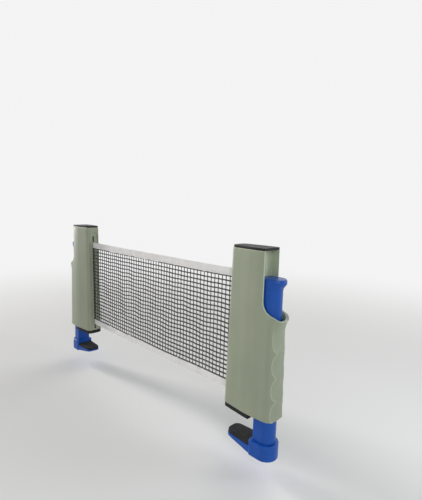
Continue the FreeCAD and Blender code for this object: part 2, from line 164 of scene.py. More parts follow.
# Arched recess and slot in the net end
RECESS_HALF = 7.5
RECESS_TOP = 168.0
RECESS_DEPTH = 1.2
RECESS_ARCH_SLACK = 0.6
# Rows of the net end that move to the recess's arch
ARCH_LOW_ROW = 140.7
ARCH_ROW = 165.2
SLOT_HALF = 1.5
SLOT_LOW = 7.8
SLOT_HIGH = 160.8
SLOT_DEPTH = 16.5
# Rows that move to the slot's ends
SLOT_LOW_ROW = 7.15
SLOT_HIGH_ROWS = (157.0, 164.0)
SLOT_SLACK = 0.3

# Plunger: column (inner u, outer u, half depth), and the head's flare over its height
COLUMN = (6.3, 26.8, 10.0)
HEAD_LOW = 136.0
HEAD_HIGH = 148.0
HEAD_ROWS = 16
HEAD_FLARE = (
    (0.0, 0.0), (2.5, 0.5), (4.8, 2.2), (7.0, 3.9), (9.0, 4.3), (10.6, 4.1), (12.0, 3.4))
HEAD_FLARE_FROM = COLUMN[0] + 2.0
HEAD_FLARE_TO = COLUMN[1] - 6.0
HEAD_CORNER = 1.5
HEAD_STEPS = 12
HEAD_ROUND = 1.3
# Edges of the head's top that turn by more than this, in radians, are rounded
HEAD_EDGE_ANGLE = 0.6

# Net, with its ends inside the two slots
NET_NEAR_X = -22.4
NET_FAR_X = -349.9
NET_LOW = 24.3
NET_HIGH = 141.6
KNOT_TAPER = 1.25
# The net's unevenness, the same each run: scale along, layer of the noise, scale up; then how
# far each reaches
SWAY_SEED = 7
SWAY_SLOW = (0.018, 3.1, 0.012)
SWAY_SLOW_REACH = 1.1
SWAY_QUICK = (0.11, 7.7, 0.13)
SWAY_QUICK_REACH = (0.35, 0.12, 0.28)
SWAY_RIPPLE = (0.05, 5.3, 0.022)
SWAY_RIPPLE_REACH = 2.2
SWAY_DROP = 0.8
SWAY_ENDS = 1.6

# Bands: low and high edge, then the folded tape and its stitches
BANDS = {"net_top_band": (141.6, 151.2), "net_bottom_band": (14.9, 24.3)}
TAPE_THICK = 0.3
TAPE_HALF = 0.62
TAPE_FOLD = 0.55
TAPE_ROWS = 102
TAPE_INSET = 0.9
TAPE_NIP = 0.3
TAPE_NIP_REACH = 0.6
TAPE_WAVE = 0.16
TAPE_WAVE_REACH = 0.5
STITCH_INSET = 1.7
STITCH_HALF = 0.5
STITCH_SIZE = (2.1, 0.55, 0.55)
STITCH_OUT = 0.52

# Sleeve round the anchor rod
SLEEVE_U = -19.5
SLEEVE_RADIUS = 2.5
SLEEVE_TAIL = 2.7
SLEEVE_TAIL_FROM = 2.1
SLEEVE_ROWS = 12
SLEEVE_THICK = 0.35

# Wound net
ROLL_START = 4.75
ROLL_TURNS = 6.0
ROLL_STEPS = 28
ROLL_ROWS = 9
ROLL_MARGIN = 0.3
ROLL_UNEVEN = 0.08
# Scale round, scale up and layer of its unevenness
ROLL_NOISE = (0.6, 0.05, 1.7)
ROLL_THICK = 0.4

# Camera, worked out from the posts' corners in the photograph
CAMERA_PLACE = (0.22882, -0.30540, 0.21872)
CAMERA_AZIMUTH = 44.378
CAMERA_ELEVATION = 6.950
CAMERA_ROLL = 1.564
CAMERA_FOCAL = 380.0
CAMERA_SENSOR = 36.0
PHOTO_HEIGHT = 500.0

# Stage: the floor lies below the open jaws, and fades out round the object
FLOOR_Z = -0.0612
FLOOR_SIZE = 6.0
FLOOR_CENTRE_X = -0.18
FLOOR_FADE = (0.35, 1.3)
FLOOR_TONES = ((0.81, 0.81, 0.81, 1.0), (0.83, 0.83, 0.83, 1.0))
BACKDROP = 0.90
WORLD_LIGHT = 0.33
# Lamps: name, place, target, size, power in watts, tint
LAMPS = (
    ("key_light", (0.66, -0.54, 0.42), (-0.02, 0, 0.08), (0.40, 0.5), 2.5, (0.96, 1.0, 1.0)),
    ("right_strip", (0.32, 0.26, 0.28), (0.0, 0, 0.09), (0.15, 0.5), 0.5, (0.90, 1.0, 1.0)),
    ("left_strip", (-5.48, -1.10, 1.12), (-0.12, 0, 0.08), (1.0, 4.4), 336.0, (1.0, 0.97, 0.94)),
    ("back_fill", (-0.30, 1.30, 1.20), (-0.2, 0, 0.08), (1.2, 1.2), 6.0, (1.0, 1.0, 1.0)),
)


class FinishSettings(bpy.types.PropertyGroup):
    """Colours of the finishes."""
    case_colour: FloatVectorProperty(
        name="Case", description="Grey green of the two cases", subtype="COLOR",
        default=(0.276, 0.306, 0.222), min=0.0, max=1.0)
    blue_colour: FloatVectorProperty(
        name="Plunger", description="Blue of the plungers and jaws", subtype="COLOR",
        default=(0.007, 0.078, 0.390), min=0.0, max=1.0)
    band_colour: FloatVectorProperty(
        name="Bands", description="White of the woven bands", subtype="COLOR",
        default=(0.85, 0.83, 0.82), min=0.0, max=1.0)
    cord_colour: FloatVectorProperty(
        name="Net cord", description="Black of the net's thread", subtype="COLOR",
        default=(0.012, 0.012, 0.013), min=0.0, max=1.0)


class CaseSettings(bpy.types.PropertyGroup):
    """Sizes of the case that are judged, in millimetres."""
    rim_round: FloatProperty(
        name="Rim rounding", description="Rounding of the rim and the scoop, mm",
        default=0.7, min=0.1)
    lip_reach: FloatProperty(
        name="Lip reach", description="How far the lip flares out, mm", default=3.9, min=0.0)
    groove_round: FloatProperty(
        name="Groove edge rounding", description="Rounding along the grooves, mm",
        default=0.45, min=0.05)
    groove_spread: FloatProperty(
        name="Groove spread",
        description="How much further round the corner the grooves reach, degrees",
        default=11.0, min=0.0, max=16.0)
    scoop_wall: FloatProperty(
        name="Scoop widening", description="How much the scoop is wider than the channel, mm",
        default=1.0, min=0.0)


class NetSettings(bpy.types.PropertyGroup):
    """Counts and thicknesses of the net and its bands."""
    cells_long: IntProperty(
        name="Cells along", description="Cells from post to post", default=57, min=4)
    cells_high: IntProperty(
        name="Cells up", description="Cells between the bands", default=22, min=4)
    upright_radius: FloatProperty(
        name="Upright thread", description="Radius of the upright threads, mm",
        default=0.35, min=0.1)
    level_radius: FloatProperty(
        name="Level thread", description="Radius of the level threads, mm", default=0.66, min=0.1)
    knot_radius: FloatProperty(
        name="Knot", description="Radius of the knots, mm", default=0.85, min=0.1)
    stitch_pitch: FloatProperty(
        name="Stitch pitch", description="Distance between stitches, mm", default=3.2, min=1.0)


def settings(name):
    """A group of settings, by its name on the scene."""
    return getattr(bpy.context.scene, name)


# ---- Materials ----

class Value:
    """A socket whose sums and products become Math nodes."""

    def __init__(self, nodes, socket):
        self.nodes = nodes
        self.socket = socket

    def sibling(self, name):
        """Another output of the same node."""
        return Value(self.nodes, self.socket.node.outputs[name])

    def math(self, operation, first, second):
        return self.nodes.node("ShaderNodeMath", {"operation": operation}, {0: first, 1: second})

    def __add__(self, other):
        return self.math("ADD", self, other)

    def __radd__(self, other):
        return self.math("ADD", other, self)

    def __mul__(self, other):
        return self.math("MULTIPLY", self, other)

    def __rmul__(self, other):
        return self.math("MULTIPLY", other, self)


class Nodes:
    """Adds nodes to one node tree."""

    def __init__(self, tree):
        self.tree = tree

    def node(self, kind, choices, sockets, output=0):
        """A new node, its settings first, then its sockets; gives one of its outputs."""
        node = self.tree.nodes.new(kind)
        for key, value in choices.items():
            setattr(node, key, value)
        for key, value in sockets.items():
            self.feed(node.inputs[key], value)
        return Value(self, node.outputs[output])

    def feed(self, socket, value):
        """Links a value to a socket, or sets the socket to a number or a colour."""
        if isinstance(value, Value):
            self.tree.links.new(value.socket, socket)
        else:
            socket.default_value = value

    def seen(self):
        """1 for what the camera sees straight on or reflected, and 0 for what only lights."""
        path = self.node("ShaderNodeLightPath", {}, {})
        return path.math("MAXIMUM", path, path.sibling("Is Glossy Ray"))


class Finish(Nodes):
    """A node material around one Principled shader."""

    def __init__(self, name, **constants):
        self.material = bpy.data.materials.new(name + FINISH_SUFFIX)
        self.material.use_nodes = True
        super().__init__(self.material.node_tree)
        self.shader = self.tree.nodes["Principled BSDF"]
        for key, value in constants.items():
            self.shader.inputs[key.replace("_", " ")].default_value = value

    def set(self, name, value):
        """Feeds one of the Principled shader's sockets."""
        self.feed(self.shader.inputs[name], value)

    def cover(self, share, over):
        """Lays another shader over the first by the given share."""
        output = self.tree.nodes["Material Output"]
        mixed = self.node("ShaderNodeMixShader", {}, {0: share, 2: over})
        self.tree.links.new(self.shader.outputs[0], mixed.socket.node.inputs[1])
        self.tree.links.new(mixed.socket, output.inputs["Surface"])

    def place(self):
        """Object coordinates."""
        return self.node("ShaderNodeTexCoord", {}, {}, 3)

    def cloth_place(self):
        """Along and across the cloth in metres, from the piece's own UV map."""
        place = self.node("ShaderNodeUVMap", {"uv_map": CLOTH_MAP}, {})
        along = self.node("ShaderNodeSeparateXYZ", {}, {0: place})
        return along, along.sibling("Y")

    def sine(self, value):
        return self.node("ShaderNodeMath", {"operation": "SINE"}, {0: value})

    def clouds(self, place, *noise):
        """Noise drawn out to run from 0 to 1."""
        return self.spread(self.noise(place, *noise), 0.0, 1.0)

    def stretched(self, place, scale):
        return self.node("ShaderNodeMapping", {}, {0: place, 3: scale})

    def noise(self, place, scale, detail=2.0, roughness=0.5):
        return self.node("ShaderNodeTexNoise", {}, {
            "Vector": place, "Scale": scale, "Detail": detail, "Roughness": roughness})

    def blend(self, share, first, second):
        return self.node("ShaderNodeMix", {"data_type": "RGBA"}, {0: share, 6: first, 7: second}, 2)

    def spread(self, value, low, high):
        """The value's middle range drawn out to run from low to high."""
        return self.node("ShaderNodeMapRange", {}, {0: value, 1: 0.3, 2: 0.7, 3: low, 4: high})

    def bump(self, height, strength, distance):
        return self.node("ShaderNodeBump", {}, {
            "Height": height, "Strength": strength, "Distance": distance})


def shade(colour, factor):
    """The colour made lighter or darker, with its alpha."""
    return tuple(min(1.0, part * factor) for part in colour) + (1.0,)


def moulded(name, colour, roughness, grain, swing=0.06, **constants):
    """Moulded plastic: cloudy colour, fine sparked grain, faint flow marks."""
    finish = Finish(name, **constants)
    place = finish.place()
    cloud = finish.clouds(place, 26.0, 3.0)
    finish.set(
        "Base Color", finish.blend(cloud, shade(colour, 1 - swing), shade(colour, 1 + swing)))
    rub = finish.noise(place, 95.0, 4.0, 0.6)
    finish.set("Roughness", finish.spread(rub, roughness - 0.05, roughness + 0.06))
    fine = finish.noise(place, 2600.0, 2.0)
    slow = finish.noise(finish.stretched(place, (1.0, 1.0, 0.35)), 60.0, 1.0)
    finish.set("Normal", finish.bump(fine + slow * 1.5, grain, 0.00012))
    return finish


def case_plastic():
    """Satin grey green with faint upright streaks of painted reflection, and painted highlights
    where the moulding's edges are rounded.
    """
    colour = tuple(settings("net_finish").case_colour)
    finish = moulded("case_plastic", colour, 0.38, 0.16, 0.045, IOR=1.5, Specular_IOR_Level=0.45)
    edge = finish.node("ShaderNodeAttribute", {"attribute_name": PAINTED_LIGHT}, {}, 2)
    cloud = Value(finish, finish.shader.inputs["Base Color"].links[0].from_socket)
    # Painted reflection: soft upright streaks, up to one and a half times lighter than the colour
    painted_reflection_streak = finish.clouds(finish.stretched(finish.place(), (1.0, 1.0, 0.08)), 75.0, 3.0)
    skin = finish.blend(painted_reflection_streak * 0.16, cloud, shade(colour, 1.5))
    # Painted highlight: the attribute lightens the colour up to twice where it marks rounded edges,
    # and less in the channel and round the recess
    finish.set("Base Color", finish.blend(edge * 0.9, skin, shade(colour, 2.0)))
    return finish.material


def blue_plastic():
    """Smooth bright blue of the plungers."""
    colour = tuple(settings("net_finish").blue_colour)
    finish = moulded("blue_plastic", colour, 0.33, 0.07, 0.05, IOR=1.5, Specular_IOR_Level=0.28)
    return finish.material


def black_plastic():
    """Dull black of the caps and base plates."""
    finish = moulded("black_plastic", BLACK, 0.52, 0.18, 0.12, Specular_IOR_Level=0.2)
    return finish.material


def rubber_pad():
    """Soft black rubber with a dull skin and fine pores."""
    finish = Finish("rubber_pad", IOR=1.45, Specular_IOR_Level=0.25)
    place = finish.place()
    dust = finish.clouds(place, 160.0, 5.0, 0.65)
    finish.set("Base Color", finish.blend(dust, shade(BLACK, 1), shade(DUSTY_BLACK, 1)))
    finish.set("Roughness", finish.spread(finish.noise(place, 400.0), 0.68, 0.86))
    finish.set("Normal", finish.bump(finish.noise(place, 3200.0, 3.0), 0.35, 0.00015))
    return finish.material


def metal(name, colour, roughness, along):
    """Plated or drawn steel with fine marks along one direction."""
    finish = Finish(name, Metallic=1.0)
    place = finish.stretched(finish.place(), along)
    marks = finish.clouds(place, 900.0, 4.0, 0.6)
    finish.set("Base Color", finish.blend(marks, shade(colour, 0.82), shade(colour, 1.05)))
    rub = finish.noise(place, 420.0, 3.0)
    finish.set("Roughness", finish.spread(rub, roughness - 0.08, roughness + 0.1))
    finish.set("Normal", finish.bump(marks, 0.12, 0.00006))
    return finish.material


def net_cord():
    """Black twisted thread: strands run round each thread."""
    finish = Finish("net_cord", IOR=1.5, Sheen_Weight=0.25, Sheen_Roughness=0.5)
    colour = tuple(settings("net_finish").cord_colour)
    along, across = finish.cloth_place()
    twist = finish.sine((along + across) * 7200.0)
    fuzz = finish.noise(finish.place(), 1500.0, 3.0)
    strands = finish.spread(fuzz, 0.0, 1.0)
    finish.set("Base Color", finish.blend(strands, shade(colour, 0.7), shade(colour, 1.9)))
    finish.set("Roughness", finish.spread(fuzz, 0.62, 0.85))
    finish.set("Normal", finish.bump(twist * 0.5 + fuzz, 0.5, 0.00012))
    return finish.material


def band_tape():
    """White woven tape: ribs across, warp along, slightly soiled in places."""
    finish = Finish("band_tape", IOR=1.45, Sheen_Weight=0.2, Sheen_Roughness=0.4)
    colour = tuple(settings("net_finish").band_colour)
    along, across = finish.cloth_place()
    weave = finish.sine(along * 7800.0) * finish.sine(across * 9400.0)
    soil = finish.clouds(finish.place(), 55.0, 4.0, 0.6)
    thread = weave * 0.12 + soil * 0.6 + 0.2
    finish.set("Base Color", finish.blend(thread, shade(colour, 0.86), shade(colour, 1.08)))
    finish.set("Roughness", finish.spread(finish.noise(finish.place(), 300.0), 0.72, 0.88))
    finish.set("Normal", finish.bump(weave, 0.45, 0.00012))
    return finish.material


FINISHES = {
    "case_plastic": case_plastic,
    "blue_plastic": blue_plastic,
    "black_plastic": black_plastic,
    "rubber_pad": rubber_pad,
    "zinc_steel": lambda: metal("zinc_steel", (0.62, 0.62, 0.60), 0.32, (1.0, 1.0, 0.3)),
    "spring_steel": lambda: metal("spring_steel", (0.50, 0.50, 0.51), 0.28, (1.0, 1.0, 2.5)),
    "reel_plastic": lambda: moulded("reel_plastic", (0.045, 0.045, 0.047), 0.42, 0.12).material,
    "bush_plastic": lambda: moulded("bush_plastic", (0.72, 0.71, 0.66), 0.38, 0.10, 0.03).material,
    "net_cord": net_cord,
    "band_tape": band_tape,
}


def material(slot):
    """The finish of a slot, made when it is first asked for."""
    return bpy.data.materials.get(slot + FINISH_SUFFIX) or FINISHES[slot]()


# ---- Mesh helpers ----

def to_post(bm, post):
    """Turns a piece modelled on the near post round to the far post."""
    if post == "far":
        half_turn = Matrix.Rotation(math.pi, 3, "Z")
        bmesh.ops.rotate(bm, verts=bm.verts, cent=(0, 0, 0), matrix=half_turn)
        bmesh.ops.translate(bm, verts=bm.verts, vec=(-POST_SPACING, 0, 0))


def new_piece(bm, name, slot, crease=38.0, even=True):
    """Scales the mesh to metres and makes it an object at the origin.

    Edges turned by more than crease degrees stay sharp; even weighs the shading by face.
    """
    bmesh.ops.scale(bm, verts=bm.verts, vec=(MM, MM, MM))
    mesh = bpy.data.meshes.new(name)
    bm.to_mesh(mesh)
    bm.free()
    mesh.shade_smooth()
    mesh.set_sharp_from_angle(angle=math.radians(crease))
    mesh.materials.append(material(slot))
    piece = bpy.data.objects.new(name, mesh)
    bpy.context.scene.collection.objects.link(piece)
    if even:
        shading = piece.modifiers.new("even_shading", "WEIGHTED_NORMAL")
        shading.keep_sharp = True
    return piece


def bevel_edges(bm, edges, width, steps, light=None):
    """Rounds edges; with a layer, marks the middle of each rounding as a painted highlight line."""
    edges = [edge for edge in edges if edge.is_valid]
    made = bmesh.ops.bevel(
        bm, geom=edges, offset=width, offset_type="OFFSET", segments=steps, profile=0.5,
        affect="EDGES", clamp_overlap=True, material=-1)
    if light:
        faces = set(made["faces"])
        for vert in made["verts"]:
            vert[light] = 1.0 if set(vert.link_faces) <= faces else 0.0


def rounded_ring(bm, corners, z):
    """Face through (u, v, radius, steps) corners at height z, each corner rounded."""
    verts = [bm.verts.new((u, v, z)) for u, v, radius, steps in corners]
    bm.faces.new(verts)
    places = [vert.co.copy() for vert in verts]
    for i, vert in enumerate(verts):
        radius, steps = corners[i][2:]
        back = (places[i - 1] - places[i]).normalized()
        ahead = (places[(i + 1) % len(places)] - places[i]).normalized()
        reach = radius / math.tan(back.angle(ahead) / 2)
        bmesh.ops.bevel(
            bm, geom=[vert], offset=reach, offset_type="OFFSET", segments=steps, profile=0.5,
            affect="VERTICES", material=-1)
    bmesh.ops.remove_doubles(bm, verts=bm.verts, dist=RING_MERGE)


def once(parts):
    """Each of the mesh's parts once, in order."""
    return list(dict.fromkeys(parts))


def cut_across(bm, geom, axis, places):
    """Splits the geometry with planes square to an axis."""
    normal = Vector((axis == 0, axis == 1, axis == 2))
    for place in places:
        parts = [part for part in once(geom()) if part.is_valid]
        bmesh.ops.bisect_plane(
            bm, geom=parts, plane_co=normal * place, plane_no=normal, dist=TOUCH)


def extrude(bm, edges):
    """Extrudes edges on the spot; gives the new vertices and the edges between them."""
    made = bmesh.ops.extrude_edge_only(bm, edges=edges)["geom"]
    verts = [part for part in made if isinstance(part, bmesh.types.BMVert)]
    fresh = set(verts)
    return verts, [
        part for part in made if isinstance(part, bmesh.types.BMEdge) and set(part.verts) <= fresh]


def extrude_rows(bm, edges, heights):
    """Raises a ring of edges through the given heights."""
    for height in heights:
        verts, edges = extrude(bm, edges)
        bmesh.ops.translate(bm, verts=verts, vec=(0, 0, height - verts[0].co.z))
    return edges


def column_corners():
    """The plunger column's plan: its front fully rounded, its inner corners a little."""
    inner, outer, half = COLUMN
    return (
        (inner, -half, HEAD_CORNER, 3), (outer, -half, half - TOUCH, HEAD_STEPS),
        (outer, half, half - TOUCH, HEAD_STEPS), (inner, half, HEAD_CORNER, 3),
    )


def rounded_copy(node, width, steps=2, sharp=35.0):
    """A CAD node's mesh, merged, with the edges sharper than sharp degrees rounded."""
    bm = bmesh.new()
    bm.from_mesh(frame["nodes"][node].data)
    bmesh.ops.scale(bm, verts=bm.verts, vec=(1 / MM, 1 / MM, 1 / MM))
    bmesh.ops.remove_doubles(bm, verts=bm.verts, dist=MERGE)
    bmesh.ops.dissolve_limit(
        bm, angle_limit=math.radians(FLAT_DEGREES), use_dissolve_boundaries=False,
        verts=bm.verts[:], edges=bm.edges[:])
    limit = math.radians(sharp)
    edges = [
        edge for edge in bm.edges
        if len(edge.link_faces) == 2 and edge.calc_face_angle() > limit
    ]
    bevel_edges(bm, edges, width, steps)
    return bm


def rounded_part(post, part, body, slot, **rounding):
    """A part of a post as in CAD, with its edges rounded, on one of the post's bodies."""
    node = f"{post}_{part}"
    piece = new_piece(rounded_copy(node, **rounding), f"{node}_rounded", slot)
    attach(piece, f"{post}_{body}")
    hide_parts(node)


# ---- Case ----

def smooth_step(low, high, value):
    """0 up to low, 1 from high on, and smooth between them."""
    share = min(max((value - low) / (high - low), 0.0), 1.0)
    return share * share * (3 - 2 * share)


def lean_share(z):
    """0 at the case's lower edge, 1 at its upper edge."""
    return (z - CASE_LOW) / (CASE_HIGH - CASE_LOW)


def leaned_u(u, z):
    """The u at height z of what stands at u at the case's lower edge."""
    end, lean = (GRIP_END, -GRIP_LEAN) if u > BELLY_U else (-NET_END, NET_LEAN)
    return BELLY_U + (u - BELLY_U) * (end + lean * lean_share(z) - BELLY_U) / (end - BELLY_U)


def groove_limit(z):
    """The u that the grooves cut the grip end back to at height z."""
    nearest = min(max(round((z - GROOVE_FIRST_Z) / GROOVE_PITCH), 0), GROOVES - 1)
    off = z - GROOVE_FIRST_Z - nearest * GROOVE_PITCH
    off = min(abs(off), GROOVE_RADIUS)
    end = leaned_u(GRIP_END, GROOVE_FIRST_Z + nearest * GROOVE_PITCH)
    return end - GROOVE_DEPTH + GROOVE_RADIUS - math.sqrt(GROOVE_RADIUS ** 2 - off ** 2)


def groove_share(z):
    """How much of the grooves is left at height z: the top one runs out into the lip."""
    return 1 - smooth_step(GROOVE_FADE_Z, GROOVE_TOP_Z, z)


def scoop_height(u):
    """Height of the scoop's lower edge over u."""
    arc_u, arc_z, radius = SCOOP_ARC
    past = u - arc_u
    drop = LIP_SLOPE * (past + math.hypot(past, LIP_EASE)) / 2
    return arc_z - math.sqrt(max(radius ** 2 - min(past, 0.0) ** 2, 0.0)) - drop


def scoop_edge(z):
    """The u of the scoop's edge at height z."""
    arc_u, arc_z, radius = SCOOP_ARC
    if z >= arc_z:
        return arc_u - radius
    return arc_u - math.sqrt(max(radius ** 2 - (arc_z - z) ** 2, 0.0))


def grip_arc(degrees):
    """Place in the plan on the grip end's rounded corner."""
    turn = math.radians(degrees)
    u = GRIP_ARC_U + GRIP_ARC_RADIUS * math.cos(turn)
    return u, GRIP_ARC_V + GRIP_ARC_RADIUS * math.sin(turn)


def grip_angle(u, v):
    """Degrees round the grip end's corner from its front."""
    return math.degrees(math.atan2(v - GRIP_ARC_V, u - GRIP_ARC_U))


class CaseForm:
    """Places the case's grid of rows and columns on its real surfaces."""

    def __init__(self, choices, wave_angle):
        self.choices = choices
        self.wave_angle = wave_angle

    def front_height(self, u, z):
        """Height of a grip side row, squeezed below the scoop; its flare there too."""
        if z <= LIP_ROOT_Z:
            return z, 0.0
        reach = self.choices.lip_reach * smooth_step(SCOOP_CORNER[0], LIP_FULL_U, u)
        top_u = u
        for step in range(LIP_PASSES):
            top = scoop_height(top_u)
            top_u = leaned_u(u, top) + reach
        share = (z - LIP_ROOT_Z) / (SCOOP_CORNER[1] - LIP_ROOT_Z)
        return LIP_ROOT_Z + share * (top - LIP_ROOT_Z), reach * share ** LIP_CURVE

    def arch_height(self, v, z):
        """Rows of the net end, bent so that one of them follows the recess's arch."""
        if z <= ARCH_LOW_ROW:
            return z
        rise = math.sqrt(max(RECESS_HALF ** 2 - min(abs(v), RECESS_HALF) ** 2, 0.0))
        arch = RECESS_TOP - RECESS_HALF + rise
        if z <= ARCH_ROW:
            return ARCH_LOW_ROW + (z - ARCH_LOW_ROW) * (arch - ARCH_LOW_ROW) / (
                ARCH_ROW - ARCH_LOW_ROW)
        return arch + (z - ARCH_ROW) * (CASE_HIGH - arch) / (CASE_HIGH - ARCH_ROW)

    def skin(self, plan):
        """Place on the outer surface, and the flare there."""
        u, v, z = plan
        flare = 0.0
        if u > SCOOP_CORNER[0] - CLOSE and z <= SCOOP_CORNER[1] + TOUCH:
            z, flare = self.front_height(u, z)
        side = 1 if v > 0 else -1
        if u > GRIP_ARC_U and abs(v) > GRIP_ARC_V:
            u, v = self.slid_along_arc(u, abs(v), z)
            v *= side
        narrowed = 1 - SIDE_LEAN * lean_share(z)
        new_v = v * narrowed
        if u < NET_SIDE_U:
            if abs(v) <= RECESS_HALF + SLOT_SLACK:
                z = self.arch_height(v, z)
                new_v = v
            else:
                new_v = side * (RECESS_HALF + (abs(v) - RECESS_HALF) * (
                    NET_END_HALF * narrowed - RECESS_HALF) / (NET_END_HALF - RECESS_HALF))
        new_u = leaned_u(u, z)
        if plan[2] > SCOOP_CORNER[1] and u > CHANNEL_BACK:
            squeeze = (scoop_edge(z) - CHANNEL_BACK) / (
                leaned_u(SCOOP_CORNER[0], z) - CHANNEL_BACK)
            new_u = CHANNEL_BACK + (new_u - CHANNEL_BACK) * squeeze
        return Vector((new_u + flare, new_v, z)), flare

    def wave_share(self, z):
        """Angle of the grooves' edge round the grip end's corner; the top one ends at the lip."""
        z = min(z, GROOVE_LAST_Z)
        plan_u = BELLY_U + (groove_limit(z) - BELLY_U) * (GRIP_END - BELLY_U) / (
            leaned_u(GRIP_END, z) - BELLY_U)
        cosine = min(max((plan_u - GRIP_ARC_U) / GRIP_ARC_RADIUS, -1.0), 1.0)
        angle = max(math.degrees(math.acos(cosine)), GROOVE_LEAST_ANGLE)
        spread = smooth_step(GROOVE_SPREAD_FROM, GROOVE_SPREAD_TO, angle)
        return angle + self.choices.groove_spread * spread

    def groove_floor(self, v, z):
        """The u of the grooves' floor: crowned, down to the edge round the corner."""
        limit = groove_limit(z)
        edge_u, edge_v = grip_arc(self.wave_share(z))
        share = min(abs(v) / edge_v, 1.0)
        return limit - max(limit - leaned_u(edge_u, z), 0.0) * share ** GROOVE_CROWN

    def slid_along_arc(self, u, v, z):
        """Place round the corner, with the column at wave_angle moved to the grooves' edge."""
        angle = grip_angle(u, v)
        wave = self.wave_share(z)
        wave += (self.wave_angle - wave) * smooth_step(
            GROOVE_TOP_Z, GROOVE_TOP_Z + GROOVE_SETTLE, z)
        if angle <= self.wave_angle:
            return grip_arc(angle * wave / self.wave_angle)
        return grip_arc(wave + (angle - self.wave_angle) * (GRIP_ARC_TURN - wave) / (
            GRIP_ARC_TURN - self.wave_angle))

    def lining(self, place, flare):
        """Place on the channel's wall behind a place on the skin."""
        u, v, z = place
        u -= flare
        half = CHANNEL_HALF + self.choices.scoop_wall * smooth_step(*CHANNEL_WIDENS, z)
        side = 1 if v > 0 else -1
        if u < CHANNEL_BACK:
            angle = math.degrees(math.atan2(abs(v), CHANNEL_BACK - u))
            return Vector((CHANNEL_BACK, side * half * angle / 90.0, z))
        if u <= CHANNEL_ROUND_U:
            return Vector((u, side * half, z))
        angle = math.atan2(abs(v), u - CHANNEL_ROUND_U)
        reach = CHANNEL_HALF * math.cos(angle)
        return Vector((
            CHANNEL_ROUND_U + reach + flare * CHANNEL_FLARE, side * half * math.sin(angle), z))


def case_rows():
    """Heights of the case's rows above its lower edge."""
    top = SCOOP_ARC[1]
    rows = [ROW_BASE + ROW_STEP * step for step in GRIP_ROWS]
    rows += [
        LIP_ROOT_Z + (SCOOP_CORNER[1] - LIP_ROOT_Z) * step / LIP_ROWS
        for step in range(1, LIP_ROWS + 1)
    ]
    rows += SCOOP_ROWS
    rows += [top + 2 * ROW_STEP * step for step in range(1, UPPER_ROWS + 1)]
    return rows


def case_columns(bm):
    """The case's plan at its lower edge, cut where columns are needed."""
    rounded_ring(bm, CASE_CORNERS, CASE_LOW)
    bmesh.ops.delete(bm, geom=bm.faces[:], context="FACES_ONLY")
    cut_across(bm, lambda: bm.verts[:] + bm.edges[:], 0, SIDE_COLUMNS)

    def net_end():
        edges = [edge for edge in bm.edges if all(vert.co.x < NET_FACE_U for vert in edge.verts)]
        return edges + [vert for edge in edges for vert in edge.verts]
    cut_across(bm, net_end, 1, NET_COLUMNS)
    front = [edge for edge in bm.edges if all(vert.co.x > GRIP_END - TOUCH for vert in edge.verts)]
    cut_across(bm, lambda: front + [vert for edge in front for vert in edge.verts], 1, (0.0,))
    bmesh.ops.remove_doubles(bm, verts=bm.verts, dist=GRID_MERGE)


def case_rims(bm, inner):
    """Edges of the openings: outside at the top, outside below, and inside."""
    rim = {face for face in bm.faces if len({vert[inner] for vert in face.verts}) == 2}
    outer_top, outer_low, inner_rim = [], [], []
    for edge in bm.edges:
        kinds = [face in rim for face in edge.link_faces]
        if len(kinds) != 2 or kinds[0] == kinds[1]:
            continue
        if all(vert[inner] for vert in edge.verts):
            inner_rim.append(edge)
        elif min(vert.co.z for vert in edge.verts) > RIM_ABOVE_Z:
            outer_top.append(edge)
        else:
            outer_low.append(edge)
    return outer_top, outer_low, inner_rim


def case_mesh(choices):
    """The case's shell: a grid raised from the plan, doubled by the lining, then shaped."""
    bm = bmesh.new()
    case_columns(bm)
    angles = sorted({
        round(grip_angle(vert.co.x, vert.co.y), 2)
        for vert in bm.verts if vert.co.x > GRIP_ARC_U and vert.co.y > GRIP_ARC_V + CLOSE
    })
    wave_angle = min(angles, key=lambda angle: abs(angle - GROOVE_ANGLE))
    form = CaseForm(choices, wave_angle)
    extrude_rows(bm, bm.edges[:], case_rows())
    plan = bm.verts.layers.float_vector.new("plan")
    inner = bm.verts.layers.int.new("inner")
    # Layer of painted light: painted highlights along rounded edges, lighter paint in the channel
    # and round the recess
    light = bm.verts.layers.float.new(PAINTED_LIGHT)
    for vert in bm.verts:
        vert[plan] = vert.co
    gone = [
        face for face in bm.faces
        if face.calc_center_median().x > SCOOP_CORNER[0]
        and face.calc_center_median().z > SCOOP_CORNER[1]
    ]
    bmesh.ops.delete(bm, geom=gone, context="FACES")
    made = bmesh.ops.extrude_face_region(bm, geom=bm.faces[:], use_keep_orig=True)["geom"]
    for part in made:
        if isinstance(part, bmesh.types.BMVert):
            part[inner] = 1
    waves = set()
    for vert in bm.verts:
        base = Vector(vert[plan])
        place, flare = form.skin(base)
        if vert[inner]:
            vert.co = form.lining(place, flare)
            # Painted light: the channel's wall is painted lighter than the skin
            vert[light] = INNER_PAINTED_LIGHT
            continue
        angle = grip_angle(base.x, abs(base.y))
        if base.x > GRIP_ARC_U and angle <= wave_angle + CLOSE and place.z < GROOVE_TOP_Z:
            depth = max(place.x - form.groove_floor(place.y, place.z), 0.0)
            place.x -= depth * groove_share(place.z)
            if abs(angle - wave_angle) < CLOSE:
                waves.add(vert)
        vert.co = place
    # All edges to round are found before anything else changes the mesh
    outer_top, outer_low, inner_rim = case_rims(bm, inner)
    wave_edges = [edge for edge in bm.edges if set(edge.verts) <= waves]
    recess_and_slot(bm, inner, light)
    # The grooves' edge gets a painted highlight line, which fades out with the grooves
    bevel_edges(bm, wave_edges, choices.groove_round, 2, light)
    for vert in bm.verts:
        if not vert[inner]:
            vert[light] *= groove_share(vert.co.z)
    # The top rim gets a painted highlight line as well
    bevel_edges(bm, outer_top, choices.rim_round, 4, light)
    bevel_edges(bm, inner_rim, INNER_RIM_ROUND, 2)
    bevel_edges(bm, outer_low, LOW_RIM_ROUND, 2)
    bmesh.ops.recalc_face_normals(bm, faces=bm.faces)
    return bm


